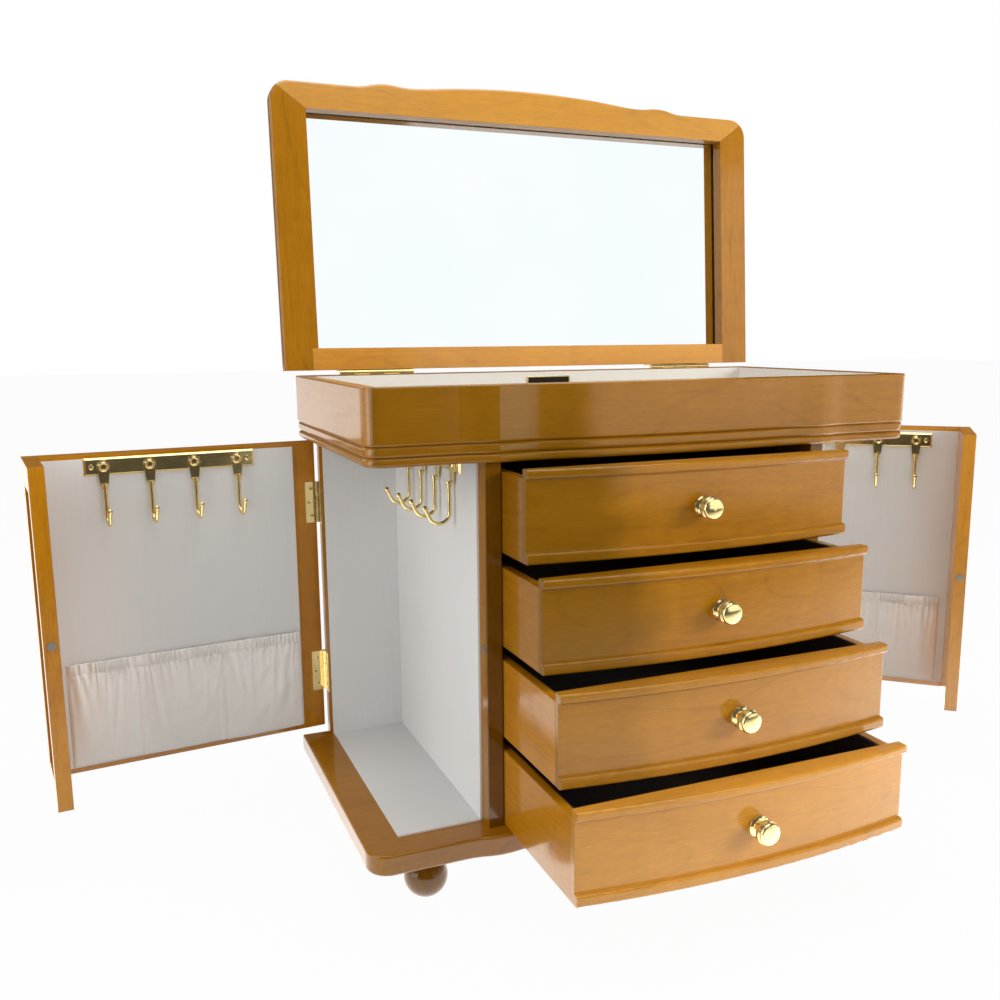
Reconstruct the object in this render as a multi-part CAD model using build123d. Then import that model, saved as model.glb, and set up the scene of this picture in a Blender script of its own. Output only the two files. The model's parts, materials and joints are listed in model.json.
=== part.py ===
import os
from math import atan2, cos, degrees, pi, radians, sin
from build123d import *

# Jewelry cabinet with a mirror lid, a lined tray, four bow-front drawers and two L-shaped side doors
# that open onto lined compartments with necklace hooks. Sizes are in millimetres.
# Frame: X to the right, Y to the back, Z up. The pieces are modelled about the mid-plane, from the base
# plate's underside, and at the end all are moved so that the origin is under the front left foot.
# Every moving piece is modelled closed and then opened.

# Open positions, as the cabinet is shown
lid_open_angle = 94.0
left_door_angle = 83.8
right_door_angle = 47.1
drawer_1_pull = 35.0
drawer_2_pull = 55.0
drawer_3_pull = 75.0
drawer_4_pull = 94.0

# Body
body_width = 356.0
body_depth = 183.6
foot_height = 25.0
foot_radius = 12.9
foot_inset_x = 36.0
foot_inset_y = 18.2
base_thickness = 12.7
base_overhang_side = 5.7
base_overhang_front = 4.6
base_overhang_rear = 1.2
base_corner_radius = 13.0
base_top_round = 1.6
base_bottom_round = 2.6
back_thickness = 7.0
back_inset = 12.0

# Serpentine front line: how far it stands out of the flat front, at each distance from the mid-plane
wave_end = 128.0
wave_crest_at = 106.0
wave_crest = 3.0
wave_dip_at = 89.0
wave_dip = 1.7
crown = 6.7
wave_dip_share = 0.15

# Drawer housing
housing_half_width = 112.3
housing_wall = 9.0
housing_set_back = 3.6
divider_thickness = 2.4
divider_set_back = 15.0

# Drawers
drawer_side_gap = 0.6
drawer_gap_below = 0.4
drawer_gap_above = 0.8
drawer_front_height = 49.75
drawer_bow = 7.75
drawer_lip = 6.5
drawer_field_depth = 3.0
drawer_top_bead = 4.2
drawer_bottom_bead = 5.8
drawer_bead_round = 1.3
drawer_ledge_slope = 0.4
drawer_side_drop = 4.75
drawer_board = 5.0
drawer_bottom = 3.0
drawer_lining_drop = 0.4
drawer_rear_gap = 6.0

# Knobs
knob_radius = 6.5
knob_projection = 11.8
knob_flange_radius = 6.0
knob_flange_edge = 1.0
knob_flange = 1.7
knob_flange_face = 5.2
knob_neck_start = 2.8
knob_neck_radius = 3.4
knob_head_start = 4.8
knob_widest_at = 7.2
knob_rim_at = 8.2
knob_ridge_depth = 0.5
knob_ridge_taper = 0.2
knob_ridge_pitch = 0.75
knob_ridge_count = 2
knob_shoulder = 5.2
knob_shoulder_at = 11.2

# Linings
card = 1.2
floor_card = 1.0
drawer_card = 1.0
bare_post_strip = 11.4
back_card_edge = 2.2
floor_card_edge = 2.8
floor_card_ahead = 0.9

# Tray
tray_height = 41.3
tray_wall = 8.0
tray_corner_radius = 11.0
tray_floor_thickness = 5.0
tray_lining_drop = 0.6
tray_face_round = 0.7
tray_face_low_round = 1.3
bead_low = 4.9
bead_high = 6.0
bead_round = 1.8
bead_inset = 0.5
tray_divider = 3.0
tray_divider_height = 20.0
tray_bay_half_width = 58.0
ring_roll_width = 15.0
ring_roll_height = 13.0
ring_roll_count = 7
ring_roll_shoulder = 6.0

# Lid
lid_overhang_side = 6.4
lid_overhang_front = 3.2
lid_thickness = 14.2
lid_gap = 0.5
lid_rear_overhang = 1.2
lid_corner_radius = 13.0
lid_edge_round = 2.0
lid_outer_round = 6.0
lid_stile = 23.2
lid_bottom_rail = 14.8
lid_top_rail = 17.1
lid_rail_let_in = 3.9
mirror_recess = 9.8
mirror_thickness = 3.0
lid_rebate = 3.0
rebate_play = 0.3
lid_panel_thickness = 1.4

# Lid hinges
lid_hinge_out = 3.17
lid_hinge_up = 1.0
lid_barrel_radius = 1.7
lid_hinge_length = 52.5
lid_hinge_at = 121.6
lid_knuckles = 5
lid_leaf = 0.8
lid_leaf_width = 8.0
lid_web_turn = 40.0

# Doors
door_hinge_out = 1.6
door_barrel_radius = 1.6
door_leaf = 0.7
door_leaf_height = 28.3
door_leaf_low = 31.4
door_leaf_high = 151.8
door_leaf_width = 7.4
door_side_thickness = 10.6
door_return_thickness = 8.5
door_return_set_back = 4.6
door_post_gap = 0.9
door_gap_below = 4.5
door_gap_above = 3.5
door_stile = 10.0
door_side_stile = 24.0
door_rail = 15.0
door_panel_recess = 2.0
door_card_start = 16.9
door_card_low = 3.7
door_card_high = 2.7
pin_radius = 0.7
pin_play = 0.05
knuckle_gap = 0.2

# Gathered pocket inside each door
pocket_start = 17.5
pocket_end_gap = 5.6
pocket_height = 68.6
pocket_folds = 7
pocket_edge = 0.9
pocket_band = 7.5
# Share of the pocket's width at which each inner seam stands
pocket_seam_shares = [0.357, 0.6966]
# Share of the height below the band, how far the cloth bulges there, and how deep its folds are
pocket_levels = [(0.0, 0.4, 0.5), (0.22, 3.6, 1.5), (0.7, 4.6, 1.9), (1.0, 1.6, 1.1)]
pocket_rim_bulge = 1.4
pocket_rim_fold = 1.0

# Necklace hooks
rail_length = 104.0
rail_height = 11.0
rail_thickness = 1.4
rail_chamfer = 1.1
hook_pitch = 27.2
hook_count = 4
hook_tab = 1.0
hook_tab_radius = 3.8
hook_tab_low = 11.2
hook_tab_end = 2.4
hook_ring_radius = 2.35
hook_ring_wire = 0.7
hook_collar_radius = 2.2
hook_collar = 1.2
hook_lower_collar_radius = 1.7
hook_collar_gap = 0.6
hook_wire_radius = 1.15
hook_bend_radius = 6.4
hook_drop = 36.4
hook_tip_rise = 10.5
hook_tip_slant = 25.0
hook_ball_radius = 1.75
left_rail_inset = 24.9
right_rail_inset = 17.8
left_rail_down = 7.8
right_rail_down = 9.9
wall_rail_back = 41.0
wall_rail_down = 5.5
first_hook_inset = 11.2

# Magnets
magnet_radius = 2.6
magnet_depth = 2.0
magnet_proud = 0.3
magnet_height = 104.8

# What follows from the sizes above
rear = body_depth / 2
flat_front = -body_depth / 2
body_half = body_width / 2
housing_front = flat_front + housing_set_back
housing_inner = housing_half_width - housing_wall
drawer_half = housing_inner - drawer_side_gap
drawer_pulls = [drawer_1_pull, drawer_2_pull, drawer_3_pull, drawer_4_pull]
drawer_count = len(drawer_pulls)
drawer_cell = drawer_gap_below + drawer_front_height + drawer_gap_above
drawer_pitch = drawer_cell + divider_thickness
body_height = drawer_count * drawer_pitch - divider_thickness
base_top = base_thickness
tray_bottom = base_top + body_height
tray_top = tray_bottom + tray_height
back_half = body_half - back_inset
back_front = rear - back_thickness
divider_front = housing_front + divider_set_back
door_hinge_at = back_half
door_hinge_y = rear + door_hinge_out
door_low = base_top + door_gap_below
door_high = tray_bottom - door_gap_above
door_inner = door_hinge_at + door_leaf
door_outer = door_inner + door_side_thickness
door_front = flat_front + door_return_set_back
door_return_inner = door_front + door_return_thickness
door_free_edge = housing_half_width + door_post_gap
door_room = door_hinge_y - door_return_inner
door_card_face = door_inner - card
pocket_end = door_room - pocket_end_gap
left_rail_start = door_room - left_rail_inset - rail_length
right_rail_start = door_room - right_rail_inset - rail_length
magnet_y = door_front + door_return_thickness / 2
magnet_z = base_top + magnet_height
lid_low = tray_top + lid_gap
lid_high = lid_low + lid_thickness
lid_rear = rear + lid_rear_overhang
lid_front = flat_front - lid_overhang_front
lid_half_width = body_half + lid_overhang_side
lid_high_edge = lid_front + lid_top_rail
lid_hinge_y = rear + lid_hinge_out
lid_hinge_z = tray_top + lid_hinge_up
inner_card_x = housing_half_width + card
foot_x = body_half + base_overhang_side - foot_inset_x
foot_front = flat_front - base_overhang_front + foot_inset_y
foot_rear = rear + base_overhang_rear - foot_inset_y
origin_shift = (foot_x, -foot_front, foot_height)


def block(x_range, y_range, z_range):
    """Rectangular solid between two limits along each axis."""
    ranges = (x_range, y_range, z_range)
    centre = [(low + high) / 2 for low, high in ranges]
    return Pos(*centre) * Box(*[high - low for low, high in ranges])


def prism(points, low, high):
    """Upright prism over a plan polygon."""
    face = Face(Wire.make_polygon([(x, y, low) for x, y in points], close=True))
    return extrude(face, amount=high - low, dir=(0, 0, 1))


def bar(points, start, length):
    """Prism along X over a polygon of (Y, Z) points."""
    face = Face(Wire.make_polygon([(start, y, z) for y, z in points], close=True))
    return extrude(face, amount=length, dir=(1, 0, 0))


def half_wave(side, front_y, low):
    """One half of the serpentine line: tangent arcs, level at each crest and dip."""
    steps = [(wave_end, 0.0), (wave_crest_at, wave_crest), (wave_dip_at, wave_dip), (0.0, crown)]
    shares = [0.5, 0.5, wave_dip_share]
    edges = []
    for first, second, share in zip(steps, steps[1:], shares):
        start = Vector(side * first[0], front_y - first[1], low)
        end = Vector(side * second[0], front_y - second[1], low)
        joint = start + (end - start) * share
        edges.append(Edge.make_tangent_arc(start, (-side, 0, 0), joint))
        edges.append(Edge.make_tangent_arc(end, (side, 0, 0), joint))
    return edges


def serpentine_slab(half_width, back_y, front_y, corner, low, high):
    """Board with a straight back, rounded front corners and the serpentine front line."""
    turn = corner * (1 - cos(radians(45)))
    edges = []
    for side in (-1, 1):
        edges += half_wave(side, front_y, low)
        outer = (side * half_width, front_y + corner, low)
        middle = (side * (half_width - turn), front_y + turn, low)
        inner = (side * (half_width - corner), front_y, low)
        edges.append(Edge.make_three_point_arc(outer, middle, inner))
        edges.append(Edge.make_line(inner, (side * wave_end, front_y, low)))
        edges.append(Edge.make_line((side * half_width, back_y, low), outer))
    edges.append(Edge.make_line((-half_width, back_y, low), (half_width, back_y, low)))
    return extrude(Face(Wire(edges)), amount=high - low, dir=(0, 0, 1))


def boards_of_frame(slab, outer, inner, low, high):
    """Cut a slab into front, back and side boards that meet in mitres at the corners."""
    half, back_y, front_y = outer
    inner_half, inner_back, inner_front = inner
    beyond = front_y - 3 * crown
    back = [(-half, back_y), (half, back_y), (inner_half, inner_back), (-inner_half, inner_back)]
    lead = [(-half, front_y), (-half, beyond), (half, beyond), (half, front_y)]
    lead += [(inner_half, inner_front), (-inner_half, inner_front)]
    side = [(half, back_y), (half, front_y), (inner_half, inner_front), (inner_half, inner_back)]
    right = slab & prism(side, low, high)
    return [slab & prism(lead, low, high), slab & prism(back, low, high), right, mirrored(right)]


def mirrored(shape):
    """The same piece on the other side of the mid-plane."""
    return mirror(shape, about=Plane.YZ)


def both_sides(shape):
    return [shape, mirrored(shape)]


# Cabinet body

def base_plate():
    half = body_half + base_overhang_side
    front = flat_front - base_overhang_front
    slab = serpentine_slab(half, rear + base_overhang_rear, front, base_corner_radius, 0, base_thickness)
    slab = fillet(slab.edges().group_by(Axis.Z)[-1], base_top_round)
    return fillet(slab.edges().group_by(Axis.Z)[0], base_bottom_round)


def feet():
    """Four turned balls with a small flat above and below."""
    centre_z = -foot_height / 2
    limit = 2 * foot_radius
    ball = Pos(0, 0, centre_z) * Sphere(foot_radius)
    ball = ball & block((-limit, limit), (-limit, limit), (-foot_height, 0))
    return [Pos(side * foot_x, y, 0) * ball for side in (-1, 1) for y in (foot_front, foot_rear)]


def back_panel():
    """Rear board with a gain in each end for every door hinge leaf."""
    panel = block((-back_half, back_half), (back_front, rear), (base_top, tray_bottom))
    for height in (door_leaf_low, door_leaf_high):
        low = base_top + height
        gain = block((back_half - door_leaf, back_half), (back_front, rear), (low, low + door_leaf_height))
        panel = panel - gain - mirrored(gain)
    return [panel]


def housing_wall(side):
    wall = block((housing_inner, housing_half_width), (housing_front, back_front), (base_top, tray_bottom))
    wall = wall - magnet_disc(housing_half_width - magnet_depth, housing_half_width)
    return [wall if side > 0 else mirrored(wall)]


def drawer_dividers():
    """Thin boards that carry the upper drawers, set back from the posts."""
    boards = []
    for level in range(1, drawer_count):
        low = base_top + level * drawer_pitch - divider_thickness
        span = (low, low + divider_thickness)
        boards.append(block((-housing_inner, housing_inner), (divider_front, back_front), span))
    return boards


def compartment_lining(side):
    """Cards on the floor, the back and the inner wall of a side compartment."""
    back_span = (housing_half_width, back_half - back_card_edge)
    back = block(back_span, (back_front - card, back_front), (base_top, tray_bottom))
    wall_front = housing_front + bare_post_strip
    wall_span = (housing_half_width, inner_card_x)
    wall = block(wall_span, (wall_front, back_front - card), (base_top, tray_bottom))
    floor_front = wall_front - floor_card_ahead
    floor_span = (inner_card_x, back_half - floor_card_edge)
    floor = block(floor_span, (floor_front, back_front - card), (base_top, base_top + floor_card))
    cards = [back, wall, floor]
    return cards if side > 0 else [mirrored(piece) for piece in cards]


def magnet_disc(low, high):
    """Disc along X between two limits, at the height and depth where door and post meet."""
    disc = Cylinder(magnet_radius, high - low)
    return Pos((low + high) / 2, magnet_y, magnet_z) * Rot(0, 90, 0) * disc


def post_magnets():
    face = housing_half_width
    return both_sides(magnet_disc(face - magnet_depth, face + magnet_proud))


# Hooks

def hook():
    """Necklace hook on a riveted tab. Local frame: X out of the wall, Z up, rivet on the X axis."""
    face_x = rail_thickness
    shoulder = [(-hook_tab_radius, 0.0), (hook_tab_radius, 0.0)]
    foot = [(hook_tab_end, -hook_tab_low), (-hook_tab_end, -hook_tab_low)]
    corners = [(face_x, y, z) for y, z in shoulder + foot]
    tab = extrude(Face(Wire.make_polygon(corners, close=True)), amount=hook_tab, dir=(1, 0, 0))
    centre = face_x + hook_tab / 2
    tab += Pos(centre, 0, 0) * Rot(0, 90, 0) * Cylinder(hook_tab_radius, hook_tab)
    tab += Pos(face_x + hook_tab, 0, 0) * Rot(0, 90, 0) * Torus(hook_ring_radius, hook_ring_wire)
    stem_x = face_x + hook_collar_radius
    tab += Pos(stem_x, 0, -hook_tab_low) * Cylinder(hook_collar_radius, hook_collar)
    lower = hook_tab_low + hook_collar + hook_collar_gap
    tab += Pos(stem_x, 0, -lower) * Cylinder(hook_lower_collar_radius, hook_collar)
    bend_z = -hook_drop + hook_wire_radius + hook_bend_radius
    turn = radians(hook_tip_slant)
    mouth = (stem_x, 0, -hook_tab_low)
    bend_start = (stem_x, 0, bend_z)
    bend_x = stem_x + hook_bend_radius
    bend_middle = (bend_x, 0, bend_z - hook_bend_radius)
    bend_end = (bend_x + hook_bend_radius * cos(turn), 0, bend_z - hook_bend_radius * sin(turn))
    rise = -hook_drop + hook_tip_rise - bend_end[2]
    tip = (bend_end[0] + rise * sin(turn) / cos(turn), 0, bend_end[2] + rise)
    stem = Edge.make_line(mouth, bend_start)
    bend = Edge.make_three_point_arc(bend_start, bend_middle, bend_end)
    nose = Edge.make_line(bend_end, tip)
    section = Pos(*mouth) * Circle(hook_wire_radius)
    wire = sweep(section, path=Wire([stem, bend, nose]))
    return tab + wire + Pos(*tip) * Sphere(hook_ball_radius)


def hook_rail():
    """Brass plate with its row of hooks. Local frame: X out, Y along from the plate's start, Z up."""
    plate = block((0, rail_thickness), (0, rail_length), (-rail_height / 2, rail_height / 2))
    plate = chamfer(plate.edges().group_by(Axis.X)[-1], rail_chamfer)
    pieces = [plate]
    for index in range(hook_count):
        pieces.append(Pos(0, first_hook_inset + index * hook_pitch, 0) * hook())
    return pieces


def wall_hook_rail(side):
    start = rear - wall_rail_back - rail_length
    place = Pos(inner_card_x, start, tray_bottom - wall_rail_down)
    pieces = [place * piece for piece in hook_rail()]
    return pieces if side > 0 else [mirrored(piece) for piece in pieces]


# Tray

def tray_frame():
    """Four mitred boards with a serpentine front and two beads below a plain face."""
    bead_top = tray_bottom + bead_low + bead_high
    levels = [(tray_bottom, tray_bottom + bead_low, bead_inset)]
    levels.append((tray_bottom + bead_low, bead_top, bead_inset))
    slab = None
    for low, high, inset in levels:
        half = body_half - inset
        corner = tray_corner_radius - inset
        layer = serpentine_slab(half, rear - inset, flat_front + inset, corner, low, high)
        ends = layer.edges().group_by(Axis.Z)
        layer = fillet(ends[0] + ends[-1], bead_round)
        slab = layer if slab is None else slab + layer
    face = serpentine_slab(body_half, rear, flat_front, tray_corner_radius, bead_top, tray_top)
    ends = face.edges().group_by(Axis.Z)
    face = fillet(ends[0], tray_face_low_round)
    slab += fillet(face.edges().group_by(Axis.Z)[-1], tray_face_round)
    inner = (body_half - tray_wall, rear - tray_wall, flat_front + tray_wall)
    cavity = block((-inner[0], inner[0]), (inner[2], inner[1]), (tray_bottom, tray_top))
    outer = (body_half, rear, flat_front)
    return boards_of_frame(slab - cavity, outer, inner, tray_bottom, tray_top)


def tray_floor():
    half = body_half - tray_wall
    depth = (flat_front + tray_wall, rear - tray_wall)
    return [block((-half, half), depth, (tray_bottom, tray_bottom + tray_floor_thickness))]


def tray_room():
    """Limits of the lined room inside the tray: half width, front, back and floor."""
    half = body_half - tray_wall - card
    floor = tray_bottom + tray_floor_thickness + card
    return half, flat_front + tray_wall + card, rear - tray_wall - card, floor


def tray_lining():
    half, front, back, floor = tray_room()
    high = tray_top - tray_lining_drop
    shell = block((-half - card, half + card), (front - card, back + card), (floor - card, high))
    return [shell - block((-half, half), (front, back), (floor, tray_top))]


def tray_dividers():
    """Two partitions from front to back, and a cross partition in each of the three bays."""
    half, front, back, floor = tray_room()
    span = (floor, floor + tray_divider_height)
    bay = tray_bay_half_width
    long_board = block((bay, bay + tray_divider), (front, back), span)
    cross = block((bay + tray_divider, half), (-tray_divider / 2, tray_divider / 2), span)
    roll_back = front + ring_roll_count * ring_roll_width
    middle = block((-bay, bay), (roll_back, roll_back + tray_divider), span)
    return both_sides(long_board) + both_sides(cross) + [middle]


def ring_rolls():
    """Row of soft rolls that hold rings in the slits between them."""
    half, front, back, floor = tray_room()
    rolls = []
    for index in range(ring_roll_count):
        start = front + index * ring_roll_width
        depth = (start, start + ring_roll_width)
        roll = block((-tray_bay_half_width, tray_bay_half_width), depth, (floor, floor + ring_roll_height))
        crest = roll.edges().filter_by(Axis.X).group_by(Axis.Z)[-1]
        roll = fillet(crest, ring_roll_shoulder)
        rolls.append(roll)
    return rolls


# Lid

def lid_slab():
    slab = serpentine_slab(lid_half_width, lid_rear, lid_front, lid_corner_radius, lid_low, lid_high)
    slab = fillet(slab.edges().group_by(Axis.Z)[0].sort_by(Axis.Y)[:-1], lid_edge_round)
    return fillet(slab.edges().group_by(Axis.Z)[-1].sort_by(Axis.Y)[:-1], lid_outer_round)


def lid_boards():
    """Stiles, a bottom rail let into the left one, and a top rail that meets them in mitres."""
    slab = lid_slab()
    inner = lid_half_width - lid_stile
    low_edge = lid_rear - lid_bottom_rail
    beyond = lid_front - 3 * crown
    seat = (-inner - lid_rebate, inner + lid_rebate)
    depth = (lid_high_edge - lid_rebate, low_edge + lid_rebate)
    slab = slab - block(seat, depth, (lid_low + mirror_recess, lid_high))
    side = [(inner, lid_rear), (lid_half_width, lid_rear)]
    side += [(lid_half_width, lid_front), (inner, lid_high_edge)]
    right = slab & prism(side, lid_low, lid_high)
    top = [(-inner, lid_high_edge), (inner, lid_high_edge), (lid_half_width, lid_front)]
    top += [(lid_half_width, beyond), (-lid_half_width, beyond), (-lid_half_width, lid_front)]
    let_in = block((-inner - lid_rail_let_in, inner), (low_edge, lid_rear), (lid_low, lid_high))
    return {
        "lid_stile_right": [right],
        "lid_stile_left": [mirrored(right) - let_in],
        "lid_top_rail": [slab & prism(top, lid_low, lid_high)],
        "lid_bottom_rail": [slab & let_in],
    }


def lid_fill(low, thickness):
    """Sheet that lies in the lid's rebate."""
    half = lid_half_width - lid_stile + lid_rebate - rebate_play
    front = lid_high_edge - lid_rebate + rebate_play
    back = lid_rear - lid_bottom_rail + lid_rebate - rebate_play
    return [block((-half, half), (front, back), (low, low + thickness))]


def barrel(radius, start, length, bore=0.0):
    """Knuckle along X about the lid's hinge line."""
    tube = Cylinder(radius, length)
    if bore:
        tube = tube - Cylinder(bore, length)
    return Pos(start + length / 2, lid_hinge_y, lid_hinge_z) * Rot(0, 90, 0) * tube


def lid_hinge(on_lid):
    """One hinge's leaf and knuckles; the body's half also carries the pin."""
    knuckle = lid_hinge_length / lid_knuckles
    start = lid_hinge_at - lid_hinge_length / 2
    bore = pin_radius + pin_play
    face = lid_rear if on_lid else rear
    up = 1 if on_lid else -1
    edge = lid_hinge_z + up * (lid_barrel_radius + knuckle_gap)
    height = sorted((edge, edge + up * lid_leaf_width))
    solid = block((start, start + lid_hinge_length), (face, face + lid_leaf), height)
    reach = lid_barrel_radius - lid_leaf / 2
    turn = radians(lid_web_turn)
    web = [(face, edge), (face + lid_leaf, edge + up * lid_leaf), (lid_hinge_y, lid_hinge_z + up * reach),
           (lid_hinge_y - reach * sin(turn), lid_hinge_z + up * reach * cos(turn))]
    for index in range(lid_knuckles):
        if (index % 2 == 1) == on_lid:
            at = start + index * knuckle + knuckle_gap / 2
            length = knuckle - knuckle_gap
            solid += bar(web, at, length) - barrel(bore, at, length)
            solid += barrel(lid_barrel_radius, at, length, bore if on_lid else 0.0)
    if not on_lid:
        solid += barrel(pin_radius, start, lid_hinge_length)
    return both_sides(solid)


# Doors: modelled closed on the right-hand side, and mirrored for the left

def door_side_frame():
    """Two stiles and two rails of the side board."""
    x = (door_inner, door_outer)
    rails = (door_front + door_side_stile, rear - door_side_stile)
    return [
        block(x, (rear - door_side_stile, rear), (door_low, door_high)),
        block(x, (door_front, door_front + door_side_stile), (door_low, door_high)),
        block(x, rails, (door_low, door_low + door_rail)),
        block(x, rails, (door_high - door_rail, door_high)),
    ]


def door_side_panel():
    x = (door_inner, door_outer - door_panel_recess)
    depth = (door_front + door_side_stile, rear - door_side_stile)
    return [block(x, depth, (door_low + door_rail, door_high - door_rail))]


def door_return_frame():
    """Stiles and rails of the return that closes the compartment's front."""
    depth = (door_front, door_return_inner)
    rails = (door_free_edge + door_stile, door_inner - door_stile)
    edge = block((door_free_edge, door_free_edge + door_stile), depth, (door_low, door_high))
    edge = edge - magnet_disc(door_free_edge, door_free_edge + magnet_depth)
    return [
        edge,
        block((door_inner - door_stile, door_inner), depth, (door_low, door_high)),
        block(rails, depth, (door_low, door_low + door_rail)),
        block(rails, depth, (door_high - door_rail, door_high)),
    ]


def door_return_panel():
    depth = (door_front + door_panel_recess, door_return_inner)
    x = (door_free_edge + door_stile, door_inner - door_stile)
    return [block(x, depth, (door_low + door_rail, door_high - door_rail))]


def door_lining():
    depth = (door_return_inner, door_hinge_y - door_card_start)
    height = (door_low + door_card_low, door_high - door_card_high)
    return [block((door_card_face, door_inner), depth, height)]


def door_magnet():
    """Disc in the return's free edge, facing the post's magnet."""
    return [magnet_disc(door_free_edge - magnet_proud, door_free_edge + magnet_depth)]


def pocket_outline(start, end, height, bulge, fold):
    """Plan outline of one pocket section: flat on the card, its face in a row of folds."""
    level = door_low + door_card_low + height
    step = (end - start) / pocket_folds
    points = []
    for index in range(pocket_folds + 1):
        share = index / pocket_folds
        out = pocket_edge + bulge * sin(pi * share)
        points.append((door_card_face - out, door_hinge_y - start - index * step, level))
    corner_a = (door_card_face, door_hinge_y - start, level)
    corner_b = (door_card_face, door_hinge_y - end, level)
    edges = [Edge.make_line(corner_a, points[0])]
    for first, second in zip(points, points[1:]):
        middle = ((first[0] + second[0]) / 2 - fold, (first[1] + second[1]) / 2, level)
        edges.append(Edge.make_three_point_arc(first, middle, second))
    edges.append(Edge.make_line(points[-1], corner_b))
    edges.append(Edge.make_line(corner_b, corner_a))
    return Face(Wire(edges))


def door_pocket():
    """Cloth pocket in three sewn sections, gathered by a band along its top."""
    band = pocket_height - pocket_band
    levels = [(share * band, bulge, fold) for share, bulge, fold in pocket_levels]
    levels.append((pocket_height, pocket_rim_bulge, pocket_rim_fold))
    width = pocket_end - pocket_start
    inner_seams = [pocket_start + share * width for share in pocket_seam_shares]
    seams = [pocket_start] + inner_seams + [pocket_end]
    sections = []
    for start, end in zip(seams, seams[1:]):
        outlines = [pocket_outline(start, end, *level) for level in levels]
        sections.append(loft(outlines, ruled=True))
    return sections


def door_hook_rail(start, down):
    """Hook rail on the lining card, its start and depth measured from the hinge line and the top."""
    place = Pos(door_card_face, door_hinge_y - start - rail_length, door_high - down)
    return [place * Rot(0, 0, 180) * Pos(0, -rail_length, 0) * piece for piece in hook_rail()]


def door_hinge(low, on_door):
    """Leaf, knuckles and pin of one door hinge, on the door's inner face or the back panel's edge."""
    third = door_leaf_height / 3
    face = (door_hinge_at, door_inner) if on_door else (door_hinge_at - door_leaf, door_hinge_at)
    clear = door_barrel_radius + knuckle_gap / 2
    edge = door_hinge_y - clear
    leaf = block(face, (edge - door_leaf_width, edge), (low, low + door_leaf_height))
    if not on_door:
        leaf = leaf & block(face, (back_front, rear), (low, low + door_leaf_height))
    bore = pin_radius + pin_play
    for index in range(3):
        if (index == 1) == on_door:
            at = low + index * third + knuckle_gap / 2
            length = third - knuckle_gap
            middle = Pos(door_hinge_at, door_hinge_y, at + length / 2)
            web = block(face, (edge - door_leaf, door_hinge_y), (at, at + length))
            tube = middle * Cylinder(door_barrel_radius, length)
            hole = middle * Cylinder(bore, length)
            leaf += web + tube
            leaf = leaf - hole if on_door else leaf
    if not on_door:
        centre = Pos(door_hinge_at, door_hinge_y, low + door_leaf_height / 2)
        leaf += centre * Cylinder(pin_radius, door_leaf_height)
    return leaf


def door_hinges(on_door):
    return [door_hinge(base_top + height, on_door) for height in (door_leaf_low, door_leaf_high)]


def door_nodes(name, side, rail_start, rail_down, angle):
    """All pieces of one door, swung open by an angle about its hinge line."""
    pieces = {
        "side_frame": door_side_frame(),
        "side_panel": door_side_panel(),
        "return_frame": door_return_frame(),
        "return_panel": door_return_panel(),
        "lining": door_lining(),
        "pocket": door_pocket(),
        "hook_rail": door_hook_rail(rail_start, rail_down),
        "hinge_leaves": door_hinges(True),
        "magnet": door_magnet(),
    }
    hinge_line = Axis((side * door_hinge_at, door_hinge_y, 0), (0, 0, 1))
    nodes = {}
    for key, solids in pieces.items():
        placed = solids if side > 0 else [mirrored(solid) for solid in solids]
        nodes[f"{name}_{key}"] = [solid.rotate(hinge_line, side * angle) for solid in placed]
    return nodes


# Drawers

def drawer_front(low):
    """Bow front: the beaded profile is turned about the bow's upright axis, then cut to width."""
    radius = (drawer_half ** 2 + drawer_bow ** 2) / (2 * drawer_bow)
    nose = housing_front - drawer_bow
    axis_y = nose + radius
    back = housing_front + drawer_lip
    inner = axis_y - back - drawer_bow
    high = low + drawer_front_height
    field = radius - drawer_field_depth
    top_bead = high - drawer_top_bead
    bottom_bead = low + drawer_bottom_bead
    cove = drawer_field_depth / 2
    profile = [(inner, low), (radius, low), (radius, bottom_bead)]
    profile += [(field, bottom_bead + drawer_ledge_slope), (field, top_bead - cove)]
    profile += [(radius, top_bead), (radius, high), (inner, high)]
    face = Face(Wire.make_polygon([(0, axis_y - r, z) for r, z in profile], close=True))
    face = fillet(face.vertices().group_by(Axis.Y)[0], drawer_bead_round)
    half_turn = degrees(atan2(drawer_half + drawer_lip, inner))
    centre = Axis((0, axis_y, 0), (0, 0, 1))
    ring = revolve(face.rotate(centre, -half_turn), axis=centre, revolution_arc=2 * half_turn)
    ahead = nose - drawer_bow
    cut = block((-drawer_half, drawer_half), (ahead, back), (low - drawer_bow, high + drawer_bow))
    return [ring & cut]


def drawer_box(low):
    """Sides, back and bottom board behind the bow front."""
    front = housing_front + drawer_lip
    back = back_front - drawer_rear_gap
    high = low + drawer_front_height - drawer_side_drop
    inner = drawer_half - drawer_board
    side = block((inner, drawer_half), (front, back), (low, high))
    rear_board = block((-inner, inner), (back - drawer_board, back), (low, high))
    bottom = block((-inner, inner), (front, back - drawer_board), (low, low + drawer_bottom))
    return both_sides(side) + [rear_board, bottom]


def drawer_lining(low):
    """Dark cloth tray that lines the inside of the drawer."""
    inner = drawer_half - drawer_board
    front = housing_front + drawer_lip
    back = back_front - drawer_rear_gap - drawer_board
    floor = low + drawer_bottom
    high = low + drawer_front_height - drawer_side_drop - drawer_lining_drop
    shell = block((-inner, inner), (front, back), (floor, high))
    room = block((-inner + drawer_card, inner - drawer_card), (front + drawer_card, back - drawer_card),
                 (floor + drawer_card, high))
    return [shell - room]


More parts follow.
